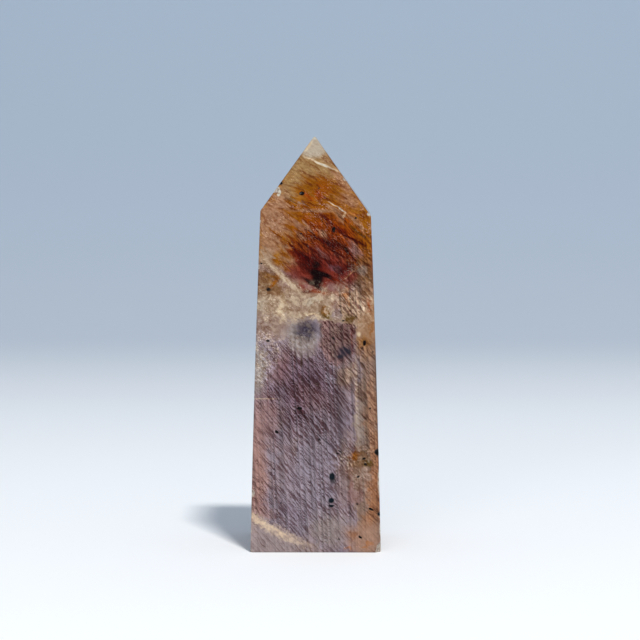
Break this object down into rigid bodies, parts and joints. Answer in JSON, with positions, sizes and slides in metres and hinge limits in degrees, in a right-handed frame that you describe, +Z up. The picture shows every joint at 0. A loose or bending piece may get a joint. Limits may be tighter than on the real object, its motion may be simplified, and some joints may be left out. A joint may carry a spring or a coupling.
{
  "type": "crystal tower",
  "caption": "Polished square stone tower with a slight taper, a four-sided point and a flat base to stand on.",
  "frame": {"origin": "middle of the flat base", "axes": "+Z up the tower to its tip, -Y out of the side with the dark red patch below the point"},
  "size_m": [0.0252, 0.0252, 0.08],
  "materials": {
    "polished_feldspar": "polished"
  },
  "bodies": {
    "root": {"stone_tower": "polished_feldspar"}
  },
  "joints": []
}
